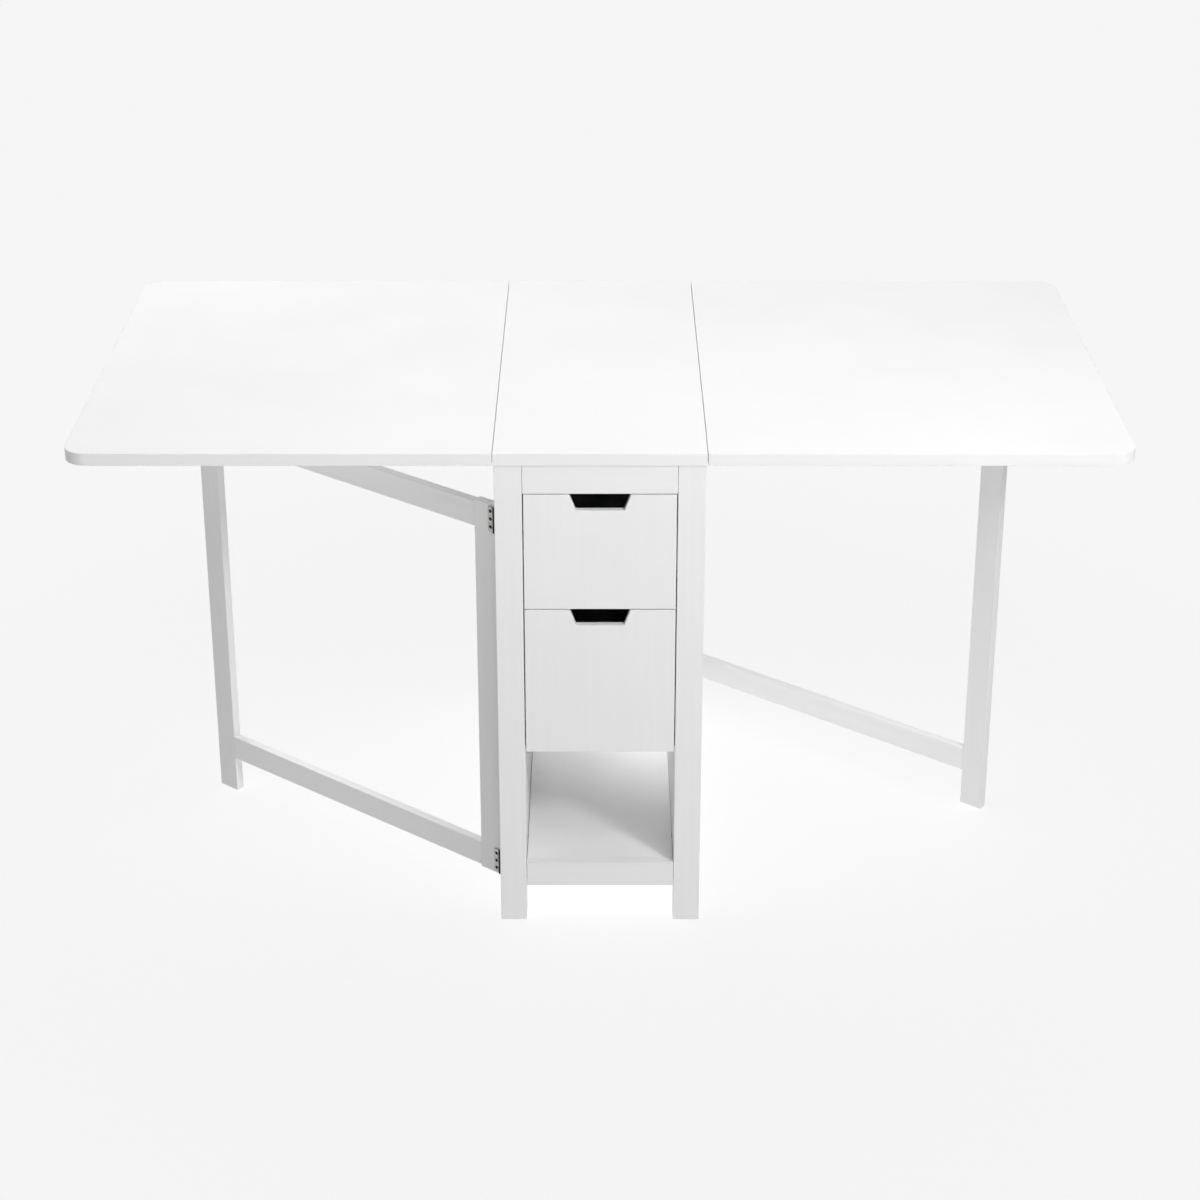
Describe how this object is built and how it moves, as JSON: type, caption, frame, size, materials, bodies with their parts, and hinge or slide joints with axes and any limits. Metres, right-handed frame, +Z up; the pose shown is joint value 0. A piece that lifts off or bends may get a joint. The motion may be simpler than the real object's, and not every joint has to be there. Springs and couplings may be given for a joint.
{
  "type": "gateleg table",
  "caption": "White gateleg table: a narrow cabinet with notched drawers and an open compartment, and two hinged leaves, each carried by a swing-out gate.",
  "frame": {"origin": "on the floor, under the middle of the top", "axes": "+X along the opened table, +Y from the drawer end to the back end, +Z up"},
  "size_m": [1.5, 0.8, 0.75],
  "materials": {
    "lacquered_top": "satin white lacquer on board",
    "lacquered_frame": "satin white lacquer on board and solid wood",
    "lacquered_front": "satin white lacquer on board",
    "drawer_board": "white foil on board, matt",
    "hinge_steel": "nickel-plated sheet",
    "screw_steel": "zinc-plated",
    "zinc_steel": "zinc-plated sheet",
    "dowel_beech": "fluted beech"
  },
  "bodies": {
    "cabinet": {"top_centre": "lacquered_top", "leg_front_left": "lacquered_frame", "leg_front_right": "lacquered_frame", "leg_back_left": "lacquered_frame", "leg_back_right": "lacquered_frame", "apron_front": "lacquered_frame", "apron_back": "lacquered_frame", "bottom_rail_front": "lacquered_frame", "bottom_rail_back": "lacquered_frame", "side_panel_left": "lacquered_frame", "side_panel_right": "lacquered_frame", "bottom_shelf": "lacquered_frame", "middle_panel": "lacquered_frame", "back_panel": "lacquered_frame", "upper_runner_channels": "zinc_steel", "lower_runner_channels": "zinc_steel", "top_brackets": "zinc_steel", "gate_hinge_leg_plates": "hinge_steel", "leaf_hinge_centre_plates": "hinge_steel", "cabinet_hinge_screws": "screw_steel", "cabinet_fixing_screws": "screw_steel", "frame_dowels": "dowel_beech"},
    "leaf_left": {"leaf_left_board": "lacquered_top", "leaf_left_hinge_plates": "hinge_steel", "leaf_left_hinge_pins": "screw_steel", "leaf_left_gate_stop": "lacquered_frame", "leaf_left_screws": "screw_steel"},
    "leaf_right": {"leaf_right_board": "lacquered_top", "leaf_right_hinge_plates": "hinge_steel", "leaf_right_hinge_pins": "screw_steel", "leaf_right_gate_stop": "lacquered_frame", "leaf_right_screws": "screw_steel"},
    "gate_left": {"gate_left_inner_post": "lacquered_frame", "gate_left_outer_post": "lacquered_frame", "gate_left_lower_rail": "lacquered_frame", "gate_left_upper_rail": "lacquered_frame", "gate_left_hinge_plates": "hinge_steel", "gate_left_hinge_pins": "screw_steel", "gate_left_hinge_screws": "screw_steel"},
    "gate_right": {"gate_right_inner_post": "lacquered_frame", "gate_right_outer_post": "lacquered_frame", "gate_right_lower_rail": "lacquered_frame", "gate_right_upper_rail": "lacquered_frame", "gate_right_hinge_plates": "hinge_steel", "gate_right_hinge_pins": "screw_steel", "gate_right_hinge_screws": "screw_steel"},
    "upper_drawer": {"upper_drawer_front": "lacquered_front", "upper_drawer_side_left": "drawer_board", "upper_drawer_side_right": "drawer_board", "upper_drawer_back": "drawer_board", "upper_drawer_bottom": "drawer_board", "upper_drawer_runners": "zinc_steel", "upper_drawer_runner_screws": "screw_steel"},
    "lower_drawer": {"lower_drawer_front": "lacquered_front", "lower_drawer_side_left": "drawer_board", "lower_drawer_side_right": "drawer_board", "lower_drawer_back": "drawer_board", "lower_drawer_bottom": "drawer_board", "lower_drawer_runners": "zinc_steel", "lower_drawer_runner_screws": "screw_steel"}
  },
  "joints": [
    {"name": "gate_left_swing", "type": "hinge", "parent": "cabinet", "child": "gate_left", "pos_m": [-0.1507, -0.362, 0.35], "axis": [0, 0, 1], "range_deg": [-50, 0]},
    {"name": "gate_right_swing", "type": "hinge", "parent": "cabinet", "child": "gate_right", "pos_m": [0.1507, 0.362, 0.35], "axis": [0, 0, 1], "range_deg": [-50, 0]},
    {"name": "leaf_left_lift", "type": "hinge", "parent": "cabinet", "child": "leaf_left", "pos_m": [-0.1504, 0, 0.729], "axis": [0, 1, 0], "range_deg": [0, 2]},
    {"name": "leaf_right_lift", "type": "hinge", "parent": "cabinet", "child": "leaf_right", "pos_m": [0.1504, 0, 0.729], "axis": [0, -1, 0], "range_deg": [0, 2]},
    {"name": "upper_drawer_slide", "type": "slide", "parent": "cabinet", "child": "upper_drawer", "axis": [0, -1, 0], "range_m": [0, 0.36]},
    {"name": "lower_drawer_slide", "type": "slide", "parent": "cabinet", "child": "lower_drawer", "axis": [0, -1, 0], "range_m": [0, 0.36]}
  ]
}
